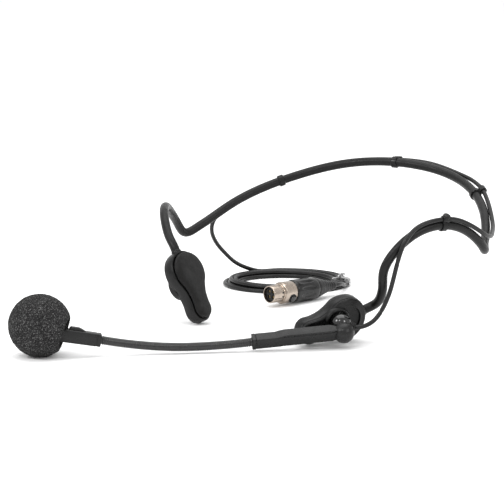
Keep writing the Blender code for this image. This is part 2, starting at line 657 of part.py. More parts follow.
def make_plug():
    """A small round locking plug: nose, ring with its latch, grip, clamp and boot."""
    def part(name, profile, sides, finish=None, looped=True, body="band_far"):
        return turned(name, profile, PLUG_FACE, PLUG_AXIS, sides, body, finish, looped)

    part("plug_nose", [(0, 3.4), (0, 3.65), (0.3, NOSE_RADIUS), (7.5, NOSE_RADIUS), (7.5, 3.4)], 20,
         "nickel")
    ring = part("plug_ring", [
        (6.0, 4.15), (6.0, 4.5), (6.4, RING_RADIUS), (13.0, RING_RADIUS), (13.4, 4.5), (13.4, 4.15)],
        22, "nickel")
    insert = part("plug_insert", [(1.2, 3.1), (7.4, 3.1)], 18, "insert", looped=False)
    across, upward, along = axes_along(PLUG_AXIS)
    for i in range(4):
        turn = math.radians(45 + 90 * i)
        centre = PLUG_FACE + (across * math.cos(turn) + upward * math.sin(turn)) * 1.65
        hole = turned(f"socket_hole_{i + 1}", [(0.5, 0.8), (5.2, 0.8)], centre, along, 8, "band_far")
        carve(insert, hole)
        turned(f"plug_contact_{i + 1}", [(1.6, 0.25), (1.6, 0.5), (4.9, 0.5), (4.9, 0.25)],
               centre, along, 8, "band_far", "gold", looped=True)
    part("plug_grip", [
        (13.7, 3.6), (13.7, 4.8), (14.2, GRIP_RADIUS), (24.0, GRIP_RADIUS), (27.0, 4.9),
        (27.4, 4.6), (27.4, 3.6)], 22, "gloss_plastic")
    part("plug_clamp", [(15.5, 1.25), (15.5, 3.3), (25.0, 3.3), (25.0, 1.25)], 14, "nickel")
    part("plug_boot", [
        (27.7, 1.25), (27.7, 4.6), (28.6, 4.6), (36.0, 2.5), (40.0, 1.95), (40.6, 1.8),
        (40.6, 1.25)], 18, "rubber")
    latch_centre = PLUG_FACE + PLUG_AXIS * LATCH_ALONG
    latch_hole = turned("latch_hole", [(3.4, 1.8), (6.0, 1.8)], latch_centre, LATCH_OUT, 16, "band_far")
    carve(ring, latch_hole)
    turned("latch_button", [(2.9, 1.5), (5.2, 1.5), (5.6, 1.1)], latch_centre, LATCH_OUT, 14,
           "latch", "gloss_plastic")
    turned("latch_spring", [(0.6, 0.9), (2.0, 0.9)], latch_centre, LATCH_OUT, 10, "band_far",
           "spring_steel")


def make_cord():
    """The free cord: the drop, the coil as one ring, the tail to the plug and the wire tie."""
    def cord_curve(name, route):
        data = bpy.data.curves.new(name, "CURVE")
        data.dimensions = "3D"
        points = smooth_curve(route, 2.4 * LEAD_RADIUS * 2)
        spline = data.splines.new("POLY")
        spline.points.add(len(points) - 1)
        for knot, point in zip(spline.points, points):
            knot.co = (*(spot(point) - pivots["band_far"][1]), 1)
        data.bevel_depth = LEAD_RADIUS * MM
        data.bevel_resolution = 2
        data.use_fill_caps = True
        link_piece(bpy.data.objects.new(name, data), "band_far", "cable")

    cord_curve("cord_drop", CORD_ROUTE)
    cord_curve("cord_tail", TAIL_ROUTE)
    rings = []
    steps = 40
    for i in range(steps):
        degrees = 360 * i / steps
        rings.append([coil_point(degrees, BUNDLE_HALF_WIDTH * math.cos(turn),
                                 BUNDLE_HALF_HEIGHT * math.sin(turn))
                      for turn in (math.radians(a + 22.5) for a in range(0, 360, 45))])
    skin("cord_coil", rings, "band_far", "cable", looped=True)
    tie = []
    for degrees, spare in ((-1.7, 0.25), (-1.7, 0.6), (1.7, 0.6), (1.7, 0.25)):
        wide, high = BUNDLE_HALF_WIDTH + spare, BUNDLE_HALF_HEIGHT + spare
        turns = [2 * math.pi * i / 20 for i in range(20)]
        tie.append([coil_point(TIE_DEGREES + degrees, wide * math.cos(t), high * math.sin(t))
                    for t in turns])
    for ring in tie:
        for point in ring:
            point.z = max(point.z, 0.0)
    skin("twist_tie", tie, "band_far", "tie", looped=True)


TIE_DEGREES = -8.0


# ------------------------------------------------------------------ assembly

def build():
    """Clear the scene and make every piece on its body."""
    for old in list(bpy.data.objects):
        bpy.data.objects.remove(old, do_unlink=True)
    add_body("band_far", None, (0, 0, 0))
    add_body("far_pad", "band_far", FAR_RIM)
    add_body("latch", "band_far", PLUG_FACE + PLUG_AXIS * LATCH_ALONG)
    add_body("band_near", "band_far", HINGE)
    add_body("near_pad", "band_near", NEAR_RIM)
    add_body("ball", "near_pad", BALL)
    add_body("boom", "ball", HUB)
    add_body("neck_middle", "boom", neck_joint(NECK_SHARES[1]))
    add_body("neck_tip", "neck_middle", neck_joint(NECK_SHARES[2]))
    add_body("windscreen", "neck_tip", FOAM_CENTRE)
    band_path = make_headband()
    make_leads(band_path)
    make_pads()
    make_ball_joint()
    make_boom()
    make_gooseneck()
    make_microphone()
    make_windscreen()
    make_plug()
    make_cord()


build()
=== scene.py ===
"""The looks of a headset microphone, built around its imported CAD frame.

Routes and profiles are in millimetres, measured as in the CAD: from the headband's plane of
symmetry (x = 0) and the table (z = 0).  spot() turns them into metres in the shared frame.
"""
import math

import bmesh
import bpy
import numpy as np
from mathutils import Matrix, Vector, noise


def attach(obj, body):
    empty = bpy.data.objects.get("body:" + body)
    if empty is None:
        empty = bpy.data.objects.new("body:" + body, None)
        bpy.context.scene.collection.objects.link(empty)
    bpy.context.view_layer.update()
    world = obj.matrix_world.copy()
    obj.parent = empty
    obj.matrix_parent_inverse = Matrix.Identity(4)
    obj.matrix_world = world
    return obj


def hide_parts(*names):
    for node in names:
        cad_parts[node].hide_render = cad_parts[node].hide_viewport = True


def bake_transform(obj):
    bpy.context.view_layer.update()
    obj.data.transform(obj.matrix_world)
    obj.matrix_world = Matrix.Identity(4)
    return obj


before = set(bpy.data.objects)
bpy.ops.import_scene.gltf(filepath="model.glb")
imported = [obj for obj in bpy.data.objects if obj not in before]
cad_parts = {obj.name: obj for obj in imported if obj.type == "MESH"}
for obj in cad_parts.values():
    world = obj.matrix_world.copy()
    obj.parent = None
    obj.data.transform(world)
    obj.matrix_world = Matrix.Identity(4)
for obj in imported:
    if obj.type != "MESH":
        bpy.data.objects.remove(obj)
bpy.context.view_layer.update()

MM = 0.001
SHIFT = Vector((-0.279, 2.079, 0.0))    # from the CAD's own origin to the shared frame's
TUBE_END = 0.9                # a tube's end ring, as a share of its radius


# ------------------------------------------------------------------ shapes

def spot(point):
    """A point in millimetres as a place in the shared frame."""
    return (Vector(point) + SHIFT) * MM


def smooth_curve(points, spacing):
    """Points about a spacing apart on a natural cubic spline through the given ones."""
    knots = np.array([tuple(p) for p in points], float)
    steps = np.sqrt(np.linalg.norm(np.diff(knots, axis=0), axis=1))
    count = len(knots)
    system = np.eye(count)
    right = np.zeros((count, 3))
    for i in range(1, count - 1):
        before, after = steps[i - 1], steps[i]
        system[i, i - 1:i + 2] = before, 2 * (before + after), after
        right[i] = 6 * ((knots[i + 1] - knots[i]) / after - (knots[i] - knots[i - 1]) / before)
    bend = np.linalg.solve(system, right)
    fine = []
    fine_steps = 40              # points on each span before the curve is redrawn evenly
    for i, step in enumerate(steps):
        for share in np.linspace(0, 1, fine_steps, endpoint=False):
            x, y = share * step, (1 - share) * step
            fine.append(bend[i] * y ** 3 / (6 * step) + bend[i + 1] * x ** 3 / (6 * step)
                        + (knots[i] / step - bend[i] * step / 6) * y
                        + (knots[i + 1] / step - bend[i + 1] * step / 6) * x)
    fine.append(knots[-1])
    fine = np.array(fine)
    lengths = path_lengths(fine)
    wanted = np.linspace(0, lengths[-1], max(2, round(lengths[-1] / spacing) + 1))
    return np.stack([np.interp(wanted, lengths, fine[:, axis]) for axis in range(3)], 1)


def path_lengths(path):
    """The distance along a path at each of its points."""
    return np.concatenate([[0], np.cumsum(np.linalg.norm(np.diff(path, axis=0), axis=1))])


def stretch(path, start, end, spacing):
    """A finely drawn path from one distance along it to another, redrawn at a spacing."""
    lengths = path_lengths(path)
    wanted = np.linspace(start, end, max(2, round((end - start) / spacing) + 1))
    return np.stack([np.interp(wanted, lengths, path[:, axis]) for axis in range(3)], 1)


def distance_to(path, point):
    """How far along a finely drawn path its nearest point to a given one is."""
    nearest = np.argmin(np.linalg.norm(path - np.array(tuple(point)), axis=1))
    return path_lengths(path)[nearest]


def axes_along(direction):
    """Three unit vectors: across, upward and along a direction."""
    along = Vector(direction).normalized()
    across = Vector((0, 0, 1)).cross(along).normalized()
    return across, along.cross(across), along


def rings_along(path, outlines):
    """Outlines of (across, upward) offsets, one for each point of a path, without twisting."""
    path = [Vector(p) for p in path]
    rings = []
    across = None
    for i, (point, outline) in enumerate(zip(path, outlines)):
        along = (path[min(i + 1, len(path) - 1)] - path[max(i - 1, 0)]).normalized()
        if across is None:
            across = axes_along(along)[0]
        across = (across - along * across.dot(along)).normalized()
        upward = along.cross(across)
        rings.append([point + across * a + upward * b for a, b in outline])
    return rings


def circle(radius, sides):
    """A regular outline."""
    angles = [2 * math.pi * i / sides for i in range(sides)]
    return [(radius * math.cos(a), radius * math.sin(a)) for a in angles]


def skin(name, rings, material, body=None, looped=False, sharp=40):
    """A surface through rings of points, with a UV map of (millimetres along, share around)."""
    rings = [[Vector(p) for p in ring] for ring in rings]
    count = len(rings[0])
    marks = [0.0]
    for one, other in zip(rings, rings[1:]):
        marks.append(marks[-1] + (other[0] - one[0]).length)
    pairs = [(i, i + 1) for i in range(len(rings) - 1)]
    if looped:
        pairs.append((len(rings) - 1, 0))
    work = bmesh.new()
    layer = work.loops.layers.uv.new("along")
    loops = [[work.verts.new(spot(p)) for p in ring] for ring in rings]
    for i, j in pairs:
        for k in range(count):
            n = (k + 1) % count
            face = work.faces.new((loops[i][k], loops[i][n], loops[j][n], loops[j][k]))
            for loop, place in zip(face.loops, ((i, k), (i, k + 1), (j, k + 1), (j, k))):
                loop[layer].uv = marks[place[0]], place[1] / count
    if not looped:
        work.faces.new(loops[0][::-1])
        work.faces.new(loops[-1])
    bmesh.ops.recalc_face_normals(work, faces=work.faces)
    mesh = bpy.data.meshes.new(name)
    work.to_mesh(mesh)
    work.free()
    mesh.shade_smooth()
    mesh.set_sharp_from_angle(angle=math.radians(sharp))
    mesh.materials.append(material)
    piece = bpy.data.objects.new(name, mesh)
    bpy.context.scene.collection.objects.link(piece)
    if body:
        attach(piece, body)
    return piece


def turned(name, profile, origin, direction, sides, material, body, looped=False):
    """A turned piece: the profile is (along, radius) pairs from the origin."""
    across, upward, along = axes_along(direction)
    origin = Vector(origin)
    rings = [[origin + along * x + across * a + upward * b for a, b in circle(r, sides)]
             for x, r in profile]
    return skin(name, rings, material, body, looped)


def tube(name, path, radius, sides, material, body=None):
    """A round bar along a path, its end edges a little rounded."""
    outlines = [circle(radius, sides) for _ in path]
    outlines[0] = outlines[-1] = circle(radius * TUBE_END, sides)
    return skin(name, rings_along(path, outlines), material, body)


def stand_for(piece, slot, *nodes):
    """Hide the CAD nodes that a piece replaces; the slot argument is not used."""
    if nodes:
        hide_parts(*nodes)
    return piece


def repaint(node, material):
    """Give a CAD node a better material."""
    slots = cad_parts[node].data.materials
    slots.clear()
    slots.append(material)


# ------------------------------------------------------------------ materials

class Paint:
    """A material's node tree, with a short way to add nodes."""

    def __init__(self, name, roughness, metallic=0.0, **sockets):
        self.material = bpy.data.materials.new(name)
        self.material.use_nodes = True
        self.nodes = self.material.node_tree.nodes
        self.links = self.material.node_tree.links
        self.shader = self.nodes["Principled BSDF"]
        self.shader.inputs["Roughness"].default_value = roughness
        self.shader.inputs["Metallic"].default_value = metallic
        for socket, value in sockets.items():
            self.shader.inputs[socket.replace("_", " ")].default_value = value
        self.place = self.nodes.new("ShaderNodeTexCoord").outputs["Object"]

    def add(self, kind, links=None, **settings):
        """A node; links maps its inputs to other nodes' outputs or to values."""
        node = self.nodes.new("ShaderNode" + kind)
        for key, value in settings.items():
            setattr(node, key, value)
        for key, value in (links or {}).items():
            if isinstance(value, bpy.types.NodeSocket):
                self.links.new(value, node.inputs[key])
            else:
                node.inputs[key].default_value = value
        return node

    def noise(self, scale, detail, vector=None):
        """Soft noise, scale in features per metre."""
        return self.add("TexNoise", {"Vector": vector or self.place, "Scale": scale,
                                     "Detail": detail, "Roughness": 0.55}).outputs["Fac"]

    def cells(self, scale):
        """Distance to the nearest of scattered points, scale in points per metre."""
        return self.add("TexVoronoi", {"Vector": self.place, "Scale": scale}).outputs["Distance"]

    def spread(self, value, low, high, to_low=0.0, to_high=1.0):
        """A value's range mapped to another."""
        return self.add("MapRange", {"Value": value, "From Min": low, "From Max": high,
                                     "To Min": to_low, "To Max": to_high}).outputs["Result"]

    def sum(self, one, other):
        """Two values added."""
        return self.add("Math", {0: one, 1: other}, operation="ADD").outputs["Value"]

    def share_of(self, value, share):
        """A value made weaker or stronger."""
        return self.add("Math", {0: value, 1: share}, operation="MULTIPLY").outputs["Value"]

    def colors(self, share, *stops):
        """A colour ramp from (position, colour) stops."""
        ramp = self.add("ValToRGB", {"Fac": share})
        elements = ramp.color_ramp.elements
        while len(elements) < len(stops):
            elements.new(0.5)
        for element, (position, color) in zip(elements, stops):
            element.position = position
            element.color = (*color, 1)
        return ramp.outputs["Color"]

    def use(self, socket, value):
        """Drive one of the shader's sockets."""
        self.links.new(value, self.shader.inputs[socket])

    def bumps(self, height, depth):
        """Surface relief: depth in metres for a height of 1."""
        bump = self.add("Bump", {"Height": height, "Distance": depth})
        self.use("Normal", bump.outputs["Normal"])


def grey(level, warmth=0.0):
    """A near-neutral colour."""
    return (level * (1 + warmth), level, level * (1 - warmth))


def moulded(name, level, roughness, grain, depth, spread=0.12, **sockets):
    """Moulded plastic or rubber: a fine grain, faint shade changes and rubbed patches."""
    paint = Paint(name, roughness, **sockets)
    shade = paint.noise(140, 4.0)
    paint.use("Base Color", paint.colors(shade, (0.3, grey(level * 0.8)), (0.7, grey(level * 1.25))))
    patches = paint.noise(420, 4.0)
    paint.use("Roughness", paint.spread(patches, 0.3, 0.7, roughness - spread, roughness + spread))
    fine = paint.noise(grain, 2.0)
    coarse = paint.noise(grain / 5, 2.0)
    paint.bumps(paint.sum(fine, paint.share_of(coarse, 0.6)), depth)
    return paint.material


def make_foam_material():
    """Open-cell foam: painted shade in the cells and painted highlights on the strands between them,
    with random patches of tone.
    """
    paint = Paint("foam_cells", 0.95, Specular_IOR_Level=0.15)
    cells = paint.cells(2300)
    small = paint.cells(4300)
    mixed = paint.sum(cells, paint.share_of(small, 0.5))
    patches = paint.noise(260, 3.0)
    tone = paint.sum(mixed, paint.share_of(patches, 0.35))
    # Base colour from the cell pattern that also makes the bumps: painted shade in the cells, painted
    # highlights on the strands, plus random patches of tone.
    paint.use("Base Color", paint.colors(
        paint.spread(tone, 0.45, 1.35), (0.0, grey(0.003)), (0.45, grey(0.012)),
        (0.75, grey(0.035)), (1.0, grey(0.13, 0.01))))
    paint.bumps(mixed, 0.0003)
    return paint.material


def make_cushion_material():
    """A thin matte skin on soft foam: fine pores and a faint nap."""
    paint = Paint("cushion_skin", 0.9, Specular_IOR_Level=0.15, Sheen_Weight=0.08,
                  Sheen_Roughness=0.5)
    nap = paint.noise(3200, 3.0)
    pores = paint.cells(2600)
    shade = paint.sum(paint.noise(300, 3.0), paint.share_of(nap, 0.5))
    paint.use("Base Color", paint.colors(
        paint.spread(shade, 0.4, 1.1), (0.0, grey(0.004)), (1.0, grey(0.016, 0.02))))
    paint.bumps(paint.sum(nap, pores), 0.00018)
    return paint.material


def make_nickel(name, color, roughness):
    """Plated metal with faint turning marks around it and dull patches."""
    paint = Paint(name, roughness, metallic=1.0)
    uv = paint.add("UVMap", uv_map="along").outputs["UV"]
    lines = paint.add("Mapping", {"Vector": uv, "Scale": (26.0, 0.6, 1.0)}).outputs["Vector"]
    marks = paint.noise(1.0, 2.0, vector=lines)
    patches = paint.noise(500, 3.0)
    dull = tuple(c * 0.8 for c in color)
    paint.use("Base Color", paint.colors(patches, (0.3, dull), (0.65, color)))
    paint.use("Roughness", paint.spread(
        paint.sum(marks, patches), 0.7, 1.3, roughness - 0.07, roughness + 0.1))
    paint.bumps(marks, 0.00002)
    return paint.material


def make_tie_material():
    """A creased, silvery strip; its colour is painted darker in the creases and lighter on their crests,
    as painted shade and painted highlights.
    """
    paint = Paint("tie_strip", 0.18, metallic=0.35, Coat_Weight=0.5)
    creases = paint.noise(900, 3.0)
    # The crease noise also sets the colour: painted shade in the crease hollows, painted highlights on
    # the crests.
    paint.use("Base Color", paint.colors(
        creases, (0.35, grey(0.12)), (0.5, grey(0.38)), (0.65, grey(0.62))))
    paint.bumps(creases, 0.0006)
    return paint.material


def make_cable_material():
    """A smooth extruded jacket with a faint waviness and rubbed places."""
    paint = Paint("cable_jacket", 0.26, Specular_IOR_Level=0.32)
    shade = paint.noise(160, 3.0)
    paint.use("Base Color", paint.colors(shade, (0.3, grey(0.003)), (0.7, grey(0.006))))
    patches = paint.noise(520, 3.0)
    paint.use("Roughness", paint.spread(patches, 0.3, 0.7, 0.24, 0.42))
    paint.bumps(paint.noise(1400, 2.0), 0.00004)
    return paint.material


SLEEVE = moulded("sleeve_rubber", 0.005, 0.34, 5200, 0.00004, Specular_IOR_Level=0.22)
PLASTIC = moulded("pad_plastic", 0.004, 0.29, 4200, 0.00003, Specular_IOR_Level=0.24)
ARM = moulded("arm_plastic", 0.008, 0.3, 4800, 0.00004, Specular_IOR_Level=0.26)
GLOSS = moulded("gloss_plastic", 0.003, 0.1, 2600, 0.000004, 0.04, Coat_Weight=0.5,
                Coat_Roughness=0.05, Specular_IOR_Level=0.4)
GRIP = moulded("grip_plastic", 0.004, 0.2, 3200, 0.00001, 0.06, Coat_Weight=0.2,
               Coat_Roughness=0.1, Specular_IOR_Level=0.3)
NECK = moulded("neck_rubber", 0.005, 0.22, 3600, 0.00004, Specular_IOR_Level=0.55)
INSERT = moulded("insert_plastic", 0.006, 0.5, 3800, 0.00002, Specular_IOR_Level=0.3)
CABLE = make_cable_material()
FOAM = make_foam_material()
CUSHION = make_cushion_material()
NICKEL = make_nickel("warm_nickel", (0.46, 0.39, 0.33), 0.2)
STEEL = make_nickel("spring_steel", (0.5, 0.5, 0.51), 0.3)
GOLD = make_nickel("gold_plate", (0.3, 0.22, 0.11), 0.3)
TIE = make_tie_material()


# ------------------------------------------------------------------ camera, light and floor

FLOOR_GAP = 0.00002           # metres; keeps the floor off the faces that rest at z = 0


def make_camera():
    """The photograph's view: from the front left of the wearer, a little above the table."""
    look_at = spot((-20.0, 9.0, 30.0))
    turn, lift, distance = math.radians(30), math.radians(10), 1.1
    away = Vector((math.sin(turn) * math.cos(lift), -math.cos(turn) * math.cos(lift),
                   math.sin(lift)))
    data = bpy.data.cameras.new("camera")
    data.lens = 184.64
    data.sensor_width = 36.0
    data.clip_end = 50.0
    camera = bpy.data.objects.new("camera", data)
    camera.location = look_at + away * distance
    camera.rotation_euler = (-away).to_track_quat("-Z", "Y").to_euler()
    bpy.context.scene.collection.objects.link(camera)
    bpy.context.scene.camera = camera


def soft_light(name, place, target, width, height, power):
    """A rectangular soft light that faces a target."""
    data = bpy.data.lights.new(name, "AREA")
    data.shape = "RECTANGLE"
    data.size, data.size_y = width, height
    data.energy = power
    light = bpy.data.objects.new(name, data)
    light.location = place
    light.rotation_euler = (Vector(target) - Vector(place)).to_track_quat("-Z", "Y").to_euler()
    bpy.context.scene.collection.objects.link(light)


def make_studio():
    """A white sweep, a broad light overhead and two smaller ones at the sides."""
    world = bpy.data.worlds.new("studio")
    world.use_nodes = True
    background = world.node_tree.nodes["Background"]
    background.inputs["Color"].default_value = (1, 1, 1, 1)
    background.inputs["Strength"].default_value = 1.0
    bpy.context.scene.world = world
    bpy.context.scene.view_settings.view_transform = "Standard"
    soft_light("overhead", (-0.1, 0.1, 1.1), (0, 0, 0), 1.2, 0.9, 7.0)
    soft_light("left", (-0.45, -0.75, 0.65), (0, 0, 0.02), 0.28, 0.28, 3.0)
    soft_light("front", (0.15, -0.85, 0.8), (0, 0, 0.02), 0.2, 0.2, 2.0)
    soft_light("right", (0.95, -0.25, 0.6), (0, 0, 0.02), 0.3, 0.3, 2.2)
    white = Paint("table_white", 0.9, Specular_IOR_Level=0.1)
    tone = white.noise(3.0, 2.0)
    white.use("Base Color", white.colors(tone, (0.2, grey(0.94)), (0.8, grey(0.96))))
    work = bmesh.new()
    bmesh.ops.create_grid(work, x_segments=4, y_segments=4, size=8.0)
    mesh = bpy.data.meshes.new("table")
    work.to_mesh(mesh)
    work.free()
    mesh.materials.append(white.material)
    floor = bpy.data.objects.new("table", mesh)
    floor.location.z = -FLOOR_GAP
    bpy.context.scene.collection.objects.link(floor)


make_camera()
make_studio()


# ------------------------------------------------------------------ free cord and its plug

PLUG_FACE = Vector((-28.1, 38.0, 5.9))
PLUG_AXIS = Vector((0.28, 0.96, -0.028)).normalized()
LATCH_OUT = Vector((0.84, -0.245, -0.49)).normalized()
LATCH_ALONG = 10.4
CORD_RADIUS = 0.95
CORD_ROUTE = [
    (-52.5, 85.7, 47.4), (-56.7, 80.9, 45.1), (-60.6, 75.3, 42.4), (-64.1, 69.8, 39.6),
    (-67.6, 65.6, 36.5), (-70.9, 64.3, 33.0), (-73.7, 65.6, 28.7), (-75.4, 69.2, 23.6),
    (-75.7, 75.0, 17.8), (-75.0, 81.0, 12.9), (-74.4, 86.0, 9.3), (-73.3, 91.5, 6.3),
    (-71.4, 96.2, 4.2)]
COIL_MIDDLE = (-48.0, 89.0)
COIL_LONG, COIL_SHORT, COIL_TURN = 25.3, 20.2, 28.0
# where each turn lies in the bundle: outward from its middle line, and height
COIL_PLACES = [(1.94, 2.87), (0.0, 2.87), (-1.94, 2.87), (-2.9, 0.97), (-0.97, 0.97),
               (0.97, 0.97), (2.9, 0.97), (2.9, 0.97)]
COIL_START, COIL_TURNS = 118.0, 6
STEP_DOWN_TURN = 2           # the turn that goes from the upper layer to the lower one
TIE_DEGREES = -8.0
TAIL_ROUTE = [(-20.7, 94.4, 1.6), (-18.8, 90.2, 2.6), (-17.3, 86.4, 3.7), (-16.5, 82.8, 4.4),
              (-16.2, 79.9, 4.7), (-16.6, 77.6, 4.75), (-17.3, 75.0, 4.8)]


def coil_point(degrees, out, height):
    """A point by the coil: an angle round its oval, outward from its middle line, and height."""
    turn, lean = math.radians(degrees), math.radians(COIL_TURN)
    a, b = (COIL_LONG + out) * math.cos(turn), (COIL_SHORT + out) * math.sin(turn)
    return Vector((COIL_MIDDLE[0] + a * math.cos(lean) - b * math.sin(lean),
                   COIL_MIDDLE[1] + a * math.sin(lean) + b * math.cos(lean), height))


def cord_knots():
    """The whole cord: the drop from the band, the turns of the coil, and the tail to the plug."""
    knots = [Vector(p) for p in CORD_ROUTE]
    sweep = COIL_START - TIE_DEGREES + 360 * COIL_TURNS
    count = round(sweep / 15)
    for i in range(count + 1):
        swept = sweep * i / count
        place = min(swept / 360, len(COIL_PLACES) - 1.001)
        low = COIL_PLACES[int(place)]
        high = COIL_PLACES[int(place) + 1]
        share = place - int(place)
        out = low[0] + (high[0] - low[0]) * share
        height = low[1] + (high[1] - low[1]) * share
        out += 0.3 * math.sin(math.radians(2.12 * swept))
        if int(place) == STEP_DOWN_TURN:
            out -= 0.8 * math.sin(math.pi * share)
        knots.append(coil_point(COIL_START - swept, out, height))
    return knots + [Vector(p) for p in TAIL_ROUTE]


def make_cord():
    """The cord as one curve; its thickness is the curve's own bevel."""
    path = smooth_curve(cord_knots(), 1.1)
    data = bpy.data.curves.new("cord", "CURVE")
    data.dimensions = "3D"
    spline = data.splines.new("POLY")
    spline.points.add(len(path) - 1)
    for knot, point in zip(spline.points, path):
        knot.co = (*spot(point), 1)
    data.bevel_depth = CORD_RADIUS * MM
    data.bevel_resolution = 4
    data.use_fill_caps = True
    data.materials.append(CABLE)
    cord = bpy.data.objects.new("cord", data)
    bpy.context.scene.collection.objects.link(cord)
    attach(cord, "band_far")
    stand_for(cord, "cord_coil", "cord_drop", "cord_coil", "cord_tail")
    return cord, path_lengths(path)[-1] * MM


def plug_part(name, profile):
    """A plated turned piece on the plug's axis."""
    return turned(name, profile, PLUG_FACE, PLUG_AXIS, 48, NICKEL, "band_far", looped=True)


def plug_rings(profile_at, stations, sides):
    """Rings on the plug's axis whose radius depends on the place along and the angle."""
    across, upward, along = axes_along(PLUG_AXIS)
    rings = []
    for x in stations:
        ring = []
        for i in range(sides):
            turn = 2 * math.pi * i / sides
            r = profile_at(x, turn)
            ring.append(PLUG_FACE + along * x + (across * math.cos(turn)
                                                 + upward * math.sin(turn)) * r)
        rings.append(ring)
    return rings


CONTACTS = [f"plug_contact_{number}" for number in (1, 2, 3, 4)]
RECESSES = 10                # oval finger recesses round the grip


def grip_radius(x, turn):
    """The grip swells toward its end and has a ring of long oval recesses."""
    r = float(np.interp(x, [13.5, 13.6, 14.1, 24.0, 26.6, 27.3], [4.6, 4.8, 5.1, 5.1, 4.95, 4.7]))
    for i in range(RECESSES):
        gap = (turn - 2 * math.pi * (i + 0.5) / RECESSES + math.pi) % (2 * math.pi) - math.pi
        reach = ((x - 20.2) / 4.4) ** 2 + (gap / 0.2) ** 2
        if reach < 1:
            r -= 0.5 * (1 - reach) ** 0.45
    return r


def boot_radius(x, _turn):
    """The boot tapers and carries shallow rings."""
    r = float(np.interp(x, [27.35, 27.7, 28.6, 36.0, 40.0, 40.6],
                        [4.6, 4.75, 4.6, 2.5, 1.95, 1.6]))
    groove = math.sin(math.pi * (x - 32.0) / 0.8) if 32.0 < x < 39.2 else 0.0
    return r - 0.1 * max(groove, 0.0)


def make_nose_marks():
    """The two notches and the keyway in the nose, as dark inlays."""
    across, upward, along = axes_along(PLUG_AXIS)

    def radial(degrees):
        turn = math.radians(degrees)
        return upward * math.sin(turn) - across * math.cos(turn)

    marks = [turned(f"nose_notch_{number}", [(3.5, 0.42), (3.88, 0.42)],
                    PLUG_FACE + along * 5.0, radial(degrees), 16, INSERT, "band_far")
             for number, degrees in ((1, 12), (2, -14))]
    slot_rings = [[PLUG_FACE + along * x + radial(-24 + side) * height
                   for side, height in ((-1.8, 3.5), (-1.8, 3.88), (1.8, 3.88), (1.8, 3.5))]
                  for x in (0.4, 5.4)]
    marks.append(skin("nose_keyway", slot_rings, INSERT, "band_far"))
    return [stand_for(mark, "plug_insert") for mark in marks]


def make_plug():
    """The plug: plated nose and ring, black insert, glossy grip with recesses, tapered boot."""
    nose = plug_part("nose_shell", [
        (0.0, 3.42), (0.0, 3.62), (0.12, 3.76), (0.35, 3.85), (6.2, 3.85), (6.2, 3.35),
        (1.0, 3.35), (0.2, 3.35)])
    ring = plug_part("latch_ring", [
        (5.6, 3.8), (5.6, 4.1), (5.75, 4.2), (6.1, 4.2), (6.2, 4.05), (6.4, 4.05), (6.55, 4.5),
        (6.75, 4.75), (6.95, 4.8), (12.9, 4.8), (13.2, 4.7), (13.4, 4.45), (13.4, 4.0),
        (6.3, 3.8)])
    stations = np.concatenate([[13.5, 13.6, 13.8, 14.1], np.linspace(14.5, 25.5, 40),
                               [26.0, 26.6, 27.0, 27.3]])
    grip = skin("grip", plug_rings(grip_radius, stations, 120), GRIP, "band_far")
    boot = skin("boot", plug_rings(boot_radius, np.linspace(27.35, 40.6, 80), 40), SLEEVE,
                "band_far")
    parts = [stand_for(nose, "plug_nose", "plug_nose"), stand_for(ring, "plug_ring", "plug_ring"),
             stand_for(grip, "plug_grip", "plug_grip", "plug_clamp"),
             stand_for(boot, "plug_boot", "plug_boot")]
    return parts + make_nose_marks() + [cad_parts[name] for name in (*CONTACTS, "plug_insert")]


def make_tie():
    """A strip wound round the bundle, with its two ends twisted together."""
    middle = coil_point(TIE_DEGREES, 0.0, 0.0)
    ahead = (coil_point(TIE_DEGREES + 3, 0.0, 0.0) - middle).normalized()
    outward = Vector((0, 0, 1)).cross(ahead) * -1
    outward.z = 0
    rings = []
    steps, turns, half_width = 90, 2.2, 0.55
    for i in range(steps + 1):
        turn = 2 * math.pi * turns * i / steps + 0.6
        a, b = math.cos(turn), math.sin(turn)
        squash = (abs(a) ** 4 + abs(b) ** 4) ** -0.25
        slide = 2.0 * (i / steps - 0.5) + 0.15 * math.sin(5 * turn)
        centre = middle + outward * (a * squash * 4.15) + Vector((0, 0, 2.15 + b * squash * 1.95))
        centre += ahead * slide
        normal = (outward * a + Vector((0, 0, b))).normalized()
        thick = 0.1 + 0.12 * (i / steps)
        rings.append([centre + ahead * s * half_width + normal * t * thick
                      for s, t in ((-1, -1), (-1, 1), (0, 1.6), (1, 1), (1, -1), (0, -0.4))])
    strip = skin("tie_strip", rings, TIE, "band_far")
    stand_for(strip, "twist_tie", "twist_tie")
    ends = []
    base = middle + Vector((0, 0, 4.2)) - outward * 1.0
    for side in (-1, 1):
        path = [base + ahead * (side * 0.5 * math.cos(k * 0.9)) + outward * (
            side * 0.5 * math.sin(k * 0.9)) + Vector((0, 0, 0.35 * k)) + outward * 0.3 * k
            for k in range(6)]
        path += [path[-1] + ahead * side * (0.5 * k) + outward * (0.5 * k)
                 for k in range(1, 3)]
        ends.append(tube(f"tie_end_{'left' if side < 0 else 'right'}",
                         smooth_curve(path, 0.4), 0.42, 8, TIE, "band_far"))
    return [strip] + ends


cord, cord_length = make_cord()
on_cord = make_plug() + make_tie()
latch_centre = PLUG_FACE + PLUG_AXIS * LATCH_ALONG
stand_for(turned("latch_cap", [(3.4, 1.5), (5.1, 1.5), (5.4, 1.4), (5.58, 1.1), (5.65, 0.6)],
                 latch_centre, LATCH_OUT, 32, GLOSS, "latch"), "latch_button", "latch_button")
latch_frame = turned("latch_surround", [
    (4.5, 1.62), (4.9, 1.62), (4.95, 1.7), (4.95, 2.05), (4.85, 2.15), (4.3, 2.15)],
    latch_centre, LATCH_OUT, 32, INSERT, "band_far", looped=True)


# ------------------------------------------------------------------ headband and lead

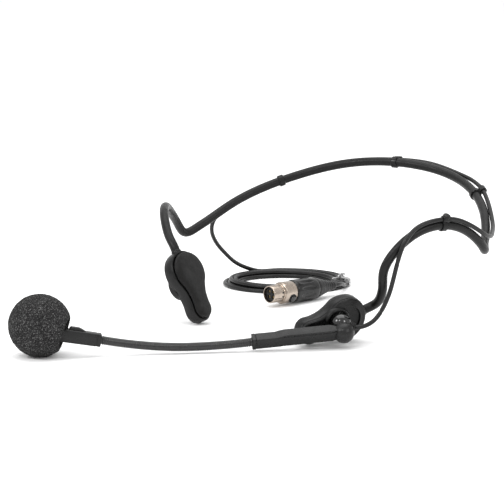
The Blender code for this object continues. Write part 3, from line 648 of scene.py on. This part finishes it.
EAR_HOOK = [
    (49.8, -4.6, 29.0), (54.0, -3.0, 37.0), (60.3, 3.8, 44.1), (67.0, 15.5, 46.4),
    (72.2, 28.0, 42.2), (74.4, 37.5, 35.0)]
FAR_DIP = [(74.0, 43.0, 30.5), (71.1, 48.3, 32.3)]
NEAR_DIP = [(73.3, 42.2, 32.5), (70.5, 47.8, 33.7)]
BACK_BAND = [
    (67.7, 55.1, 35.8), (62.1, 66.7, 41.8), (52.8, 80.0, 47.8), (40.5, 91.3, 52.7),
    (24.0, 97.4, 57.0), (0.0, 98.2, 59.3)]
NEAR_WIRE_END = [(48.9, -3.5, 23.6), (46.6, -1.3, 18.3), (44.4, -0.1, 15.8)]
BAND_ROLL, ROLL_HEIGHT = 1.25, 30.0
SLEEVE_RADIUS = 1.95
WIRE_INSIDE, WIRE_STRAIGHT = 3.2, 3.8
WIRE_DEPTH, PAD_BIG, PAD_SMALL, PAD_SPAN, PAD_HOLLOW = 2.9, 9.7, 5.5, 16.6, 14.0
SOCKET_ALONG, SOCKET_ACROSS = 4.6, 1.8    # the ball's socket, from the big lobe's centre


def rolled(point, side):
    """A point of the band on one side, with the whole band's small roll."""
    turn = math.radians(BAND_ROLL)
    x, y, z = point[0] * side, point[1], point[2] - ROLL_HEIGHT
    return Vector((x * math.cos(turn) - z * math.sin(turn), y,
                   ROLL_HEIGHT + x * math.sin(turn) + z * math.cos(turn)))


class Pad:
    """Where a pad is: its big lobe's centre on the outer face, and its outward and long axes."""

    def __init__(self, face, outward, lengthwise):
        self.face = Vector(face)
        self.out = Vector(outward).normalized()
        self.long = Vector(lengthwise)
        self.long = (self.long - self.out * self.long.dot(self.out)).normalized()
        self.wide = self.out.cross(self.long)

    def at(self, out, along, across):
        """A point of the pad."""
        return self.face + self.out * out + self.long * along + self.wide * across


FAR_PAD = Pad((-47.2, -5.9, 19.5), (-0.89, 0.10, -0.44), (0.435, -0.07, -0.90))
NEAR_PAD = Pad((36.7, -11.7, 9.7), (0.844, -0.476, -0.248), (-0.53, -0.815, -0.236))
FAR_WIRE_AXIS = Vector((0.55, -0.20, -0.81)).normalized()
NEAR_WIRE_AXIS = Vector((-0.68, -0.62, -0.39)).normalized()
FAR_RIM = FAR_PAD.at(-WIRE_DEPTH, -PAD_BIG, 0)
NEAR_RIM = NEAR_PAD.at(-WIRE_DEPTH, -PAD_BIG, 0)


def band_path():
    """The band's centre line, finely drawn, from inside the far pad to inside the near one."""
    route = [FAR_RIM + FAR_WIRE_AXIS * x for x in (WIRE_INSIDE, 0, -WIRE_STRAIGHT)]
    route += [rolled(p, -1) for p in EAR_HOOK[1:] + FAR_DIP + BACK_BAND]
    route += [rolled(p, 1) for p in reversed(EAR_HOOK + NEAR_DIP + BACK_BAND[:-1])]
    route += [Vector(p) for p in NEAR_WIRE_END]
    route += [NEAR_RIM + NEAR_WIRE_AXIS * x for x in (-WIRE_STRAIGHT, 0, WIRE_INSIDE)]
    return smooth_curve(route, 0.4)


LEAD_ROUTE = [
    (12.3, 101.1, 60.1), (24.6, 100.1, 58.6), (35.6, 97.0, 56.3), (42.4, 93.7, 54.9),
    (47.2, 90.0, 53.7), (52.0, 85.2, 52.2), (57.7, 78.1, 48.7), (63.3, 69.6, 44.9),
    (68.6, 60.3, 41.3), (72.3, 51.8, 40.2), (75.4, 43.4, 39.9), (76.2, 36.6, 41.4),
    (75.3, 31.5, 44.2), (71.5, 22.1, 49.1), (68.1, 15.1, 50.5), (64.2, 7.7, 50.0),
    (60.9, 1.9, 47.7), (59.2, -2.4, 44.0), (57.7, -4.0, 40.0), (56.1, -4.8, 34.0),
    (54.2, -5.3, 25.8), (53.0, -6.0, 21.0), (50.6, -8.0, 14.3), (48.1, -10.8, 10.2),
    (45.7, -13.2, 8.6), (43.9, -14.7, 8.2), (42.4, -15.3, 8.2)]
FAR_LEAD_ROUTE = [
    (-12.0, 101.4, 59.2), (-24.4, 100.5, 57.2), (-34.2, 97.9, 54.9),
    (-42.3, 93.9, 52.2), (-48.6, 89.4, 49.6), (-52.5, 85.7, 47.4)]
LEAD_TO_PAD = (56.1, -4.8, 34.0), (50.6, -8.0, 14.3)    # where it hangs from band to pad
CLIPS = ((1, "band_far", (-48.6, 84.9, 48.8), (-50.2, 88.0, 48.7)),
         (2, "band_near", (2.5, 98.2, 59.3), (2.5, 101.1, 60.4)),
         (3, "band_near", (49.3, 83.4, 50.4), (52.0, 85.2, 52.2)),
         (4, "band_near", (66.6, 15.4, 47.9), (68.1, 15.1, 50.5)))


def make_band(path):
    """The sleeve in one piece over both of the CAD's halves."""
    total = path_lengths(path)[-1]
    bare = WIRE_INSIDE + 0.25
    sleeve = tube("sleeve", stretch(path, bare, total - bare, 1.0), SLEEVE_RADIUS, 28, SLEEVE)
    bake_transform(sleeve)
    stand_for(sleeve, "sleeve_far", "sleeve_far", "sleeve_near")
    for node in ("spring_wire_far", "spring_wire_near"):
        repaint(node, STEEL)


def make_lead():
    """The microphone's lead, in three lengths that follow the band, the pad and the ball."""
    route = [Vector(p) for p in reversed(FAR_LEAD_ROUTE)] + [Vector(p) for p in LEAD_ROUTE]
    path = smooth_curve(route, 0.4)
    first, second = (distance_to(path, p) for p in LEAD_TO_PAD)
    total = path_lengths(path)[-1]
    over_band = tube("lead_over_band", stretch(path, 0, first, 1.2), CORD_RADIUS, 18, CABLE)
    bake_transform(over_band)
    stand_for(over_band, "lead_near", "lead_far", "lead_near")
    to_pad = tube("lead_to_pad", stretch(path, first, second, 0.8), CORD_RADIUS, 18, CABLE)
    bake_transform(to_pad)
    stand_for(to_pad, "lead_near")
    to_ball = tube("lead_to_ball", stretch(path, second, total, 0.6), CORD_RADIUS, 18, CABLE)
    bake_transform(to_ball)
    stand_for(to_ball, "lead_tail", "lead_tail")
    return path


def ring_profile(inner, outer, half_width, edge=0.25):
    """A band with rounded edges, as a looped profile."""
    return [(-half_width, inner), (-half_width, outer - edge), (-half_width + edge, outer),
            (half_width - edge, outer), (half_width, outer - edge), (half_width, inner)]


def make_clips(band, lead):
    """Each clip: a ring on the band, a smaller one on the lead and the web between them."""
    for number, body, on_band, on_lead in CLIPS:
        i = int(np.argmin(np.linalg.norm(band - np.array(on_band), axis=1)))
        j = int(np.argmin(np.linalg.norm(lead - np.array(on_lead), axis=1)))
        hold, along = Vector(band[i]), Vector(band[i + 1] - band[i - 1]).normalized()
        grip, grip_along = Vector(lead[j]), Vector(lead[j + 1] - lead[j - 1]).normalized()
        toward = (grip - hold) - along * (grip - hold).dot(along)
        reach = toward.length
        toward.normalize()
        sideways = along.cross(toward)
        name = f"clip_{number}"
        on_sleeve = turned(name, ring_profile(1.9, 2.6, 1.3), hold, along, 36, PLASTIC, body,
                           looped=True)
        stand_for(on_sleeve, f"cable_clip_{number}", f"cable_clip_{number}")
        on_cable = turned(name + "_eye", ring_profile(0.9, 1.6, 1.7, 0.3), grip, grip_along, 28,
                          PLASTIC, body, looped=True)
        web_rings = []
        for end, shrink in ((-1.2, 0.85), (-1.0, 1.0), (1.0, 1.0), (1.2, 0.85)):
            middle = hold + along * end
            web_rings.append([middle + toward * a + sideways * b * shrink for a, b in (
                (2.2, -1.1), (reach - 1.1, -0.9), (reach - 1.1, 0.9), (2.2, 1.1))])
        if reach - 1.1 > 2.4:
            web = skin(name + "_web", web_rings, PLASTIC, body)
        if number == 4:
            knob = turned(name + "_knob", [(0.9, 1.6), (1.7, 1.65), (2.0, 1.5), (2.15, 1.0)],
                          grip, toward, 24, PLASTIC, body)


headband = band_path()
make_band(headband)
make_clips(headband, make_lead())


# ------------------------------------------------------------------ pads

def pad_outline(grow, detail=4):
    """The pad's outline, moved outward by grow: (along, across) pairs."""
    big, small, hollow = PAD_BIG + grow, PAD_SMALL + grow, PAD_HOLLOW - grow
    x = ((big + hollow) ** 2 - (small + hollow) ** 2 + PAD_SPAN ** 2) / (2 * PAD_SPAN)
    y = math.sqrt((big + hollow) ** 2 - x ** 2)
    small_angle, big_angle = math.atan2(y, x - PAD_SPAN), math.atan2(y, x)
    outline = []

    def arc(centre_x, centre_y, radius, start, end, count):
        for i in range(count):
            turn = start + (end - start) * i / count
            outline.append((centre_x + radius * math.cos(turn), centre_y + radius * math.sin(turn)))

    arc(PAD_SPAN, 0, small, -small_angle, small_angle, 8 * detail)
    arc(x, y, hollow, small_angle - math.pi, big_angle - math.pi, 3 * detail)
    arc(0, 0, big, big_angle, 2 * math.pi - big_angle, 14 * detail)
    arc(x, -y, hollow, math.pi - big_angle, math.pi - small_angle, 3 * detail)
    return outline


def pad_piece(name, pad, levels, body, looped=False):
    """A piece through (depth, grow) levels of a pad's outline."""
    rings = [[pad.at(-depth, a, b) for a, b in pad_outline(grow)] for depth, grow in levels]
    return skin(name, rings, PLASTIC, body, looped, sharp=35)


def make_pad(side, pad, body):
    """The shell, its cover with a sunk panel, and the soft cushion in its groove."""
    shell = pad_piece(side + "_shell", pad, [
        (1.3, -0.75), (1.15, -0.4), (1.25, -0.12), (1.6, 0.0), (5.0, 0.0), (5.3, -0.12),
        (5.4, -0.35), (5.4, -0.75), (5.3, -0.95), (4.2, -1.05), (4.2, -3.0), (2.2, -3.0),
        (2.2, -1.2), (1.5, -1.2)], body, looped=True)
    stand_for(shell, side + "_pad_shell", side + "_pad_shell")
    cover = pad_piece(side + "_cover", pad, [
        (1.2, -0.3), (0.75, -0.22), (0.35, -0.38), (0.1, -0.75), (0.0, -1.3), (0.0, -2.6),
        (-0.12, -2.82), (-0.16, -3.0), (-0.08, -3.15), (0.9, -3.3), (1.0, -3.6)], body)
    stand_for(cover, side + "_pad_cover", side + "_pad_cover")
    make_cushion(side, pad, body)
    for node in ("_snap_post", "_pad_carrier"):
        repaint(side + node, PLASTIC)
    rim, wire_axis = (FAR_RIM, FAR_WIRE_AXIS) if side == "far" else (NEAR_RIM, NEAR_WIRE_AXIS)
    collar = turned(side + "_wire_collar", [
        (-0.6, 1.2), (-0.6, 2.2), (0.35, 2.2), (0.6, 2.1), (0.7, 1.98), (0.1, 1.98), (0.1, 1.2)],
        rim, -wire_axis, 40, PLASTIC, body, looped=True)
    stand_for(collar, side + "_wire_ferrule", side + "_wire_ferrule")


def make_cushion(side, pad, body):
    """A crowned soft pad: its rim is tucked under, and its face is gently uneven."""
    levels = [(4.7, -1.9), (5.2, -1.65), (5.8, -1.3), (6.5, -1.15), (7.1, -1.25), (7.6, -1.6),
              (7.95, -2.2), (8.12, -3.0), (8.2, -3.8), (8.2, -4.3)]
    rings = [[pad.at(-depth, a, b) for a, b in pad_outline(grow)] for depth, grow in levels]
    inner = [(x * 0.5 + PAD_SPAN * 0.22, y * 0.35) for x, y in pad_outline(-4.3)]
    rings.append([pad.at(-8.2, a, b) for a, b in inner])
    piece = skin(side + "_cushion", rings, CUSHION, body, sharp=80)
    for vertex in piece.data.vertices:
        place = Vector(vertex.co) / MM
        shift = noise.noise(place * 0.35) * 0.1 + noise.noise(place * 1.3) * 0.05
        vertex.co = vertex.co + pad.out * shift * MM
    stand_for(piece, side + "_pad_cushion", side + "_pad_cushion")


make_pad("far", FAR_PAD, "far_pad")
make_pad("near", NEAR_PAD, "near_pad")
far_cap = turned("far_cap", [
    (-1.0, 5.8), (1.0, 5.9), (1.5, 5.8), (1.8, 5.45), (1.9, 5.0), (1.9, 4.6), (1.6, 4.4), (1.6, 1.0)],
    FAR_PAD.at(0, SOCKET_ALONG, SOCKET_ACROSS), FAR_PAD.out, 56, PLASTIC, "far_pad")
stand_for(far_cap, "far_socket_cap", "far_socket_cap")


# ------------------------------------------------------------------ ball joint and arm

BALL = NEAR_PAD.at(3.2, SOCKET_ALONG, -SOCKET_ACROSS)
HUB = NEAR_PAD.at(8.4, 6.4, -0.6)
SWING_AXIS = (HUB - BALL).normalized()
BALL_TO_HUB = (HUB - BALL).length
ARM_END = Vector((12.2, -43.6, 4.3))
ARM_AXIS = (ARM_END - HUB).normalized()
ARM_UP = ARM_AXIS.cross(SWING_AXIS).normalized()
ARM_LENGTH = 36.3
BALL_RADIUS, CUP_RADIUS, HUB_RADIUS = 4.3, 4.36, 4.3


def arc_profile(radius, start, end, count):
    """Points of a turned sphere's profile between two angles from its back."""
    angles = [math.radians(start + (end - start) * i / (count - 1)) for i in range(count)]
    return [(-radius * math.cos(a), radius * math.sin(a)) for a in angles]


def rounded_outline(low, high, half_depth, corner, steps=4):
    """A rounded rectangle from low to high, as deep as twice half_depth."""
    outline = []
    for x, y, start in ((half_depth, high, 0), (-half_depth, high, 90),
                        (-half_depth, low, 180), (half_depth, low, 270)):
        for i in range(steps + 1):
            turn = math.radians(start + 90 * i / steps)
            outline.append((x - math.copysign(corner, x) + corner * math.cos(turn),
                            (y - corner if y == high else y + corner) + corner * math.sin(turn)))
    return outline


def arm_piece(name, stations):
    """A piece along the arm: (along, low, high, half depth, corner) stations."""
    depth_axis = ARM_UP.cross(ARM_AXIS)
    rings = []
    for along, low, high, half_depth, corner in stations:
        centre = HUB + ARM_AXIS * along
        rings.append([centre + depth_axis * a + ARM_UP * b
                      for a, b in rounded_outline(low, high, half_depth, corner)])
    return skin(name, rings, ARM, "boom", sharp=30)


def make_ball_joint():
    """The glossy ball in its ring on the pad, and the gland where the lead enters it."""
    ball = turned("ball", arc_profile(BALL_RADIUS, 4, 168, 34), BALL, SWING_AXIS, 56, GLOSS, "ball")
    stand_for(ball, "boom_ball", "boom_ball")
    ring = turned("socket_ring", [
        (-1.0, 4.4), (-1.0, 5.8), (0.4, 5.8), (0.9, 5.6), (1.15, 5.2), (1.2, 4.8), (1.0, 4.4)],
        NEAR_PAD.at(0, SOCKET_ALONG, -SOCKET_ACROSS), NEAR_PAD.out, 56, PLASTIC, "near_pad", looped=True)
    stand_for(ring, "ball_socket_ring", "ball_socket_ring")
    toward_lead = (Vector(LEAD_ROUTE[-2]) - BALL).normalized()
    gland = turned("gland", [
        (4.0, 0.95), (4.0, 1.75), (4.5, 1.8), (4.9, 1.65), (5.1, 1.45), (5.5, 1.5), (5.8, 1.3),
        (6.1, 1.1), (6.1, 0.95)], BALL, toward_lead, 28, SLEEVE, "ball", looped=True)
    stand_for(gland, "lead_gland", "lead_gland")
    repaint("ball_stud", STEEL)


def make_arm():
    """The arm: a hub that cups the ball, a rail, its lid and the end collar."""
    hub_profile = [(BALL_TO_HUB + 2.2, 1.6)]
    for degrees in (24, 30, 36, 40):
        turn = math.radians(degrees)
        hub_profile.append((CUP_RADIUS * math.cos(turn), CUP_RADIUS * math.sin(turn)))
    hub_profile += [(BALL_TO_HUB + HUB_RADIUS * math.cos(math.radians(a)),
                     HUB_RADIUS * math.sin(math.radians(a))) for a in range(125, 0, -6)]
    hub = turned("arm_hub", hub_profile, BALL, SWING_AXIS, 56, ARM, "boom")
    stand_for(hub, "boom_arm", "boom_arm")
    rail = arm_piece("arm_rail", [
        (2.6, -1.9, 2.0, 1.7, 0.4), (5.0, -2.2, 2.42, 2.15, 0.3), (25.4, -2.35, 2.42, 2.15, 0.3),
        (26.6, -2.4, 2.42, 2.3, 0.4), (28.0, -2.45, 2.42, 2.3, 0.5),
        (ARM_LENGTH - 0.15, -2.5, 2.42, 2.3, 0.5), (ARM_LENGTH, -2.35, 2.25, 2.15, 0.4)])
    cover = arm_piece("arm_lid", [
        (2.8, 2.3, 2.75, 1.3, 0.15), (4.2, 2.47, 3.1, 1.9, 0.25), (6.0, 2.47, 3.3, 2.2, 0.35),
        (24.6, 2.47, 3.25, 2.2, 0.35), (26.2, 2.45, 2.9, 2.15, 0.15), (28.0, 2.35, 2.5, 2.0, 0.04)])
    stand_for(cover, "arm_cover", "arm_cover")
    collar = arm_piece("arm_end_collar", [
        (ARM_LENGTH + 0.05, -2.55, 2.35, 2.3, 0.6), (ARM_LENGTH + 0.25, -2.7, 2.5, 2.45, 0.7),
        (ARM_LENGTH + 1.4, -2.7, 2.5, 2.45, 0.7), (ARM_LENGTH + 1.6, -2.5, 2.3, 2.25, 0.6)])
    stand_for(collar, "arm_collar", "arm_collar")


make_ball_joint()
make_arm()


# ------------------------------------------------------------------ gooseneck and microphone

NECK_ROUTE = [
    (9.9, -45.4, 3.9), (5.2, -49.1, 3.4), (-2.8, -55.3, 2.9), (-11.5, -62.1, 2.8),
    (-20.1, -68.7, 3.4), (-29.2, -75.8, 4.8), (-36.8, -81.7, 6.5)]
NECK_RADIUS, NECK_PITCH, RIB_DEPTH = 1.9, 0.9, 0.3
NECK_INSIDE = 2.0             # how far the neck runs into the collar and the holder
NECK_BENDS = (0.30, 0.66)     # the CAD's two joints, as shares of the neck's length
HOLDER_START = Vector((-37.3, -82.0, 6.6))
HOLDER_AXIS = Vector((-0.783, -0.600, 0.165)).normalized()
HOLDER_LENGTH = 20.0
FOAM_CENTRE = Vector((-58.2, -94.5, 12.6))
FOAM_RADIUS = 12.8
FLAT_BLEND = 1.2              # below this height the foam gives way to the table


def neck_piece(name, path, start, end):
    """A length of the ribbed neck: its radius rises and falls once for each rib."""
    line = stretch(path, start, end, NECK_PITCH / 6)
    marks = start + path_lengths(line)
    outlines = [circle(NECK_RADIUS - RIB_DEPTH * (0.5 - 0.5 * math.cos(2 * math.pi * m / NECK_PITCH)),
                       24) for m in marks]
    return skin(name, rings_along(line, outlines), NECK, sharp=80)


def make_gooseneck():
    """Two ribbed lengths that meet midway between the CAD's two joints."""
    seen = smooth_curve(NECK_ROUTE, 0.2)
    length = path_lengths(seen)[-1]
    back = (seen[0] - seen[2]) / np.linalg.norm(seen[0] - seen[2])
    into_collar = seen[0] + NECK_INSIDE * back
    into_holder = seen[-1] + NECK_INSIDE * np.array(HOLDER_AXIS)
    path = np.vstack([into_collar, seen, into_holder])
    bends = [NECK_INSIDE + length * share for share in NECK_BENDS]
    middle = sum(bends) / 2
    pieces = (("neck_root", 0.0, middle, bends[0], "boom", "neck_middle"),
              ("neck_end", middle, path_lengths(path)[-1], bends[1], "neck_middle", "neck_tip"))
    nodes = (("gooseneck_root", "gooseneck_middle"), ("gooseneck_tip",))
    for (name, start, end, bend, one, other), replaced in zip(pieces, nodes):
        piece = neck_piece(name, path, start, end)
        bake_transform(piece)
        stand_for(piece, replaced[0], *replaced)


def holder_piece(name, stations):
    """A piece along the holder: (along, low, high, half depth, corner) stations."""
    across, upward, axis = axes_along(HOLDER_AXIS)
    rings = [[HOLDER_START + axis * along + across * a + upward * b
              for a, b in rounded_outline(low, high, half_depth, corner)]
             for along, low, high, half_depth, corner in stations]
    return skin(name, rings, ARM, "neck_tip", sharp=30)


def make_microphone():
    """The holder and its rib; the capsule's CAD pieces get their own finishes."""
    holder = holder_piece("holder", [
        (0.0, -2.35, 2.35, 2.15, 0.6), (0.25, -2.6, 2.6, 2.4, 0.8), (1.4, -2.6, 2.6, 2.4, 0.8),
        (1.55, -2.5, 2.5, 2.3, 0.8), (1.8, -2.5, 2.5, 2.3, 0.8), (1.95, -2.62, 2.62, 2.42, 0.8),
        (15.0, -2.7, 2.7, 2.5, 0.9), (HOLDER_LENGTH, -2.2, 2.2, 2.2, 0.9)])
    stand_for(holder, "mic_holder", "mic_holder")
    rib = holder_piece("rib", [
        (6.6, 2.3, 2.75, 1.0, 0.2), (8.2, 2.3, 3.5, 1.3, 0.5), (9.5, 2.3, 3.9, 1.35, 0.6),
        (12.6, 2.3, 3.9, 1.35, 0.6), (13.2, 2.3, 3.3, 1.2, 0.5)])
    stand_for(rib, "holder_rib", "holder_rib")
    repaint("capsule_housing", PLASTIC)
    repaint("mic_capsule", STEEL)
    repaint("capsule_grille", STEEL)


def make_windscreen():
    """A foam ball, flattened where it rests, whose wide soft mouth narrows to the holder's bore."""
    bore_radius, mouth_radius, sides = 4.3, 6.6, 220
    to_centre = FOAM_CENTRE - HOLDER_START
    level = to_centre.dot(HOLDER_AXIS)               # of the ball's centre, along the holder
    beside = (to_centre - HOLDER_AXIS * level).length
    mouth = HOLDER_START + HOLDER_AXIS * (level - math.sqrt(FOAM_RADIUS ** 2 - beside ** 2))
    pole = (mouth - FOAM_CENTRE).normalized()
    across, upward, out = axes_along(pole)
    rim_turn = math.degrees(math.asin((mouth_radius + 0.9) / FOAM_RADIUS))

    def ring(centre, radius):
        return [centre + across * a + upward * b for a, b in circle(radius, sides)]

    rings = []
    for turn in np.radians(np.linspace(179.6, rim_turn, 150)):
        rings.append(ring(FOAM_CENTRE + out * FOAM_RADIUS * math.cos(turn),
                          FOAM_RADIUS * math.sin(turn)))
    rim = FOAM_CENTRE + out * FOAM_RADIUS * math.cos(math.radians(rim_turn))
    for turn in np.radians(np.linspace(15, 90, 7)):
        rings.append(ring(rim + out * 0.25 * math.sin(2 * turn) - out * 1.1 * (1 - math.cos(turn)),
                          mouth_radius + 0.9 * (1 - math.sin(turn))))
    start = rim - out * 1.1
    end = HOLDER_START + HOLDER_AXIS * 29.0
    for share in np.linspace(0.03, 1.0, 34):
        flare = max(0.0, 1 - share / 0.4)
        middle = start.lerp(end, share)
        on_axis = HOLDER_START + HOLDER_AXIS * (middle - HOLDER_START).dot(HOLDER_AXIS)
        rings.append(ring(on_axis.lerp(middle, flare), bore_radius
                          + (mouth_radius - bore_radius) * flare ** 1.3))
    rings += [ring(end + HOLDER_AXIS * 0.1, bore_radius * s) for s in (0.8, 0.5, 0.1)]
    for points in rings:
        for point in points:
            away = (point - FOAM_CENTRE).normalized()
            rough = noise.noise(point * 1.7) * 0.12 + noise.noise(point * 0.5) * 0.12
            point += away * (rough - 0.1)
            if point.z < FLAT_BLEND:
                point.z = 0.03 + FLAT_BLEND * max(0.0, point.z / FLAT_BLEND + 0.15) ** 1.6 / 1.25
    foam = skin("foam_ball", rings, FOAM, "windscreen", sharp=120)
    stand_for(foam, "windscreen", "windscreen")


make_gooseneck()
make_microphone()
make_windscreen()

repaint("plug_insert", INSERT)
repaint("latch_spring", STEEL)
for contact in CONTACTS:
    repaint(contact, GOLD)
